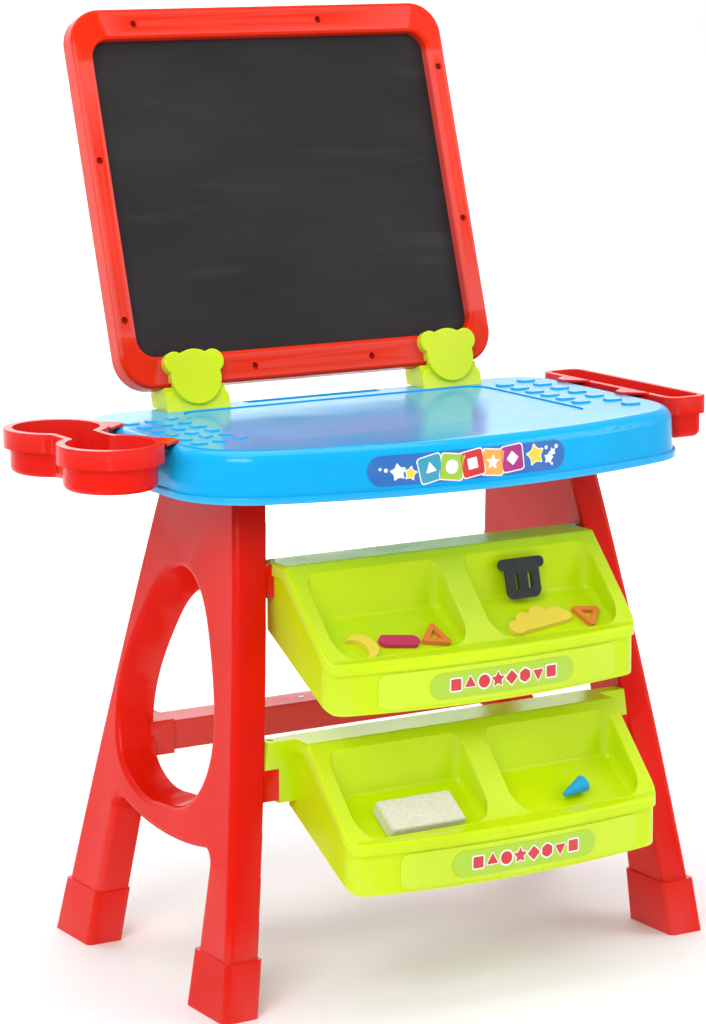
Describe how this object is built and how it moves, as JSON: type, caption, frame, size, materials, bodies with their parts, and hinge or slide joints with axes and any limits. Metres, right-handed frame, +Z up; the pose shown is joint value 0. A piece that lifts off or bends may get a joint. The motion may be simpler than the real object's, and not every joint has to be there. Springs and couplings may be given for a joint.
{
  "type": "kids easel",
  "caption": "Children's easel: a desk on two splayed side legs with a clamped two-sided board, two sloping storage trays, a cup holder and a pencil tray.",
  "frame": {"origin": "centre of the bounding box at floor level", "axes": "+Z up, +X to the right as seen from the front, +Y to the back"},
  "size_m": [0.7462, 0.5259, 0.9737],
  "materials": {
    "desk_blue": "glossy moulded blue",
    "desk_label": "printed film",
    "leg_red": "glossy moulded red",
    "foot_red": "glossy moulded red",
    "bar_red": "glossy moulded red",
    "inner_red": "moulded red",
    "tray_lime": "glossy moulded lime green",
    "tray_label": "printed film",
    "clamp_lime": "glossy moulded yellow-green",
    "chalkboard": "dark writing surface",
    "whiteboard": "white writing surface",
    "cup_red": "glossy moulded red",
    "eraser_cream": "soft felt block",
    "cone_blue": "moulded blue",
    "foam_yellow": "foam sheet",
    "foam_orange": "foam sheet",
    "foam_red": "foam sheet",
    "foam_dark": "foam sheet",
    "frame_red": "glossy moulded orange-red",
    "screw_steel": "zinc plated"
  },
  "bodies": {
    "easel": {"desk_top": "desk_blue", "desk_label": "desk_label", "left_leg": "leg_red", "right_leg": "leg_red", "front_left_foot": "foot_red", "front_right_foot": "foot_red", "rear_left_foot": "foot_red", "rear_right_foot": "foot_red", "rear_cross_bar": "bar_red", "cross_bar_stiffener": "inner_red", "upper_tray": "tray_lime", "lower_tray": "tray_lime", "upper_tray_label": "tray_label", "lower_tray_label": "tray_label", "left_clamp_base": "clamp_lime", "right_clamp_base": "clamp_lime", "left_clamp_bear": "clamp_lime", "right_clamp_bear": "clamp_lime", "leg_screws": "screw_steel", "clamp_screws": "screw_steel", "cross_bar_screws": "screw_steel", "tray_screws": "screw_steel"},
    "board": {"frame_front_top": "frame_red", "frame_front_bottom": "frame_red", "frame_front_left": "frame_red", "frame_front_right": "frame_red", "frame_back_top": "frame_red", "frame_back_bottom": "frame_red", "frame_back_left": "frame_red", "frame_back_right": "frame_red", "frame_screws": "screw_steel", "chalkboard_panel": "chalkboard", "whiteboard_panel": "whiteboard"},
    "cup_holder": {"cup_holder": "cup_red"},
    "pencil_tray": {"pencil_tray": "cup_red"},
    "chalk_eraser": {"chalk_eraser": "eraser_cream"},
    "small_cone": {"small_cone": "cone_blue"},
    "foam_cloud": {"foam_cloud": "foam_yellow"},
    "foam_ring": {"foam_ring": "foam_orange"},
    "foam_bar": {"foam_bar": "foam_red"},
    "foam_triangle": {"foam_triangle": "foam_orange"},
    "foam_moon": {"foam_moon": "foam_yellow"},
    "foam_arch": {"foam_arch": "foam_dark"}
  },
  "joints": [
    {"name": "board_lift", "type": "slide", "parent": "easel", "child": "board", "axis": [0, 0.299, 0.9542], "range_m": [0, 0.15]},
    {"name": "cup_holder_lift", "type": "slide", "parent": "easel", "child": "cup_holder", "axis": [0, 0, 1], "range_m": [0, 0.08]},
    {"name": "pencil_tray_lift", "type": "slide", "parent": "easel", "child": "pencil_tray", "axis": [0, 0, 1], "range_m": [0, 0.08]},
    {"name": "eraser_lift", "type": "slide", "parent": "easel", "child": "chalk_eraser", "axis": [0, -0.72, 0.694], "range_m": [0, 0.2]},
    {"name": "cone_lift", "type": "slide", "parent": "easel", "child": "small_cone", "axis": [0, -0.72, 0.694], "range_m": [0, 0.2]},
    {"name": "foam_cloud_lift", "type": "slide", "parent": "easel", "child": "foam_cloud", "axis": [0, -0.72, 0.694], "range_m": [0, 0.2]},
    {"name": "foam_ring_lift", "type": "slide", "parent": "easel", "child": "foam_ring", "axis": [0, -0.72, 0.694], "range_m": [0, 0.2]},
    {"name": "foam_bar_lift", "type": "slide", "parent": "easel", "child": "foam_bar", "axis": [0, -0.72, 0.694], "range_m": [0, 0.2]},
    {"name": "foam_triangle_lift", "type": "slide", "parent": "easel", "child": "foam_triangle", "axis": [0, -0.72, 0.694], "range_m": [0, 0.2]},
    {"name": "foam_moon_lift", "type": "slide", "parent": "easel", "child": "foam_moon", "axis": [0, -0.72, 0.694], "range_m": [0, 0.2]},
    {"name": "foam_arch_lift", "type": "slide", "parent": "easel", "child": "foam_arch", "axis": [0, -0.72, 0.694], "range_m": [0, 0.2]}
  ]
}
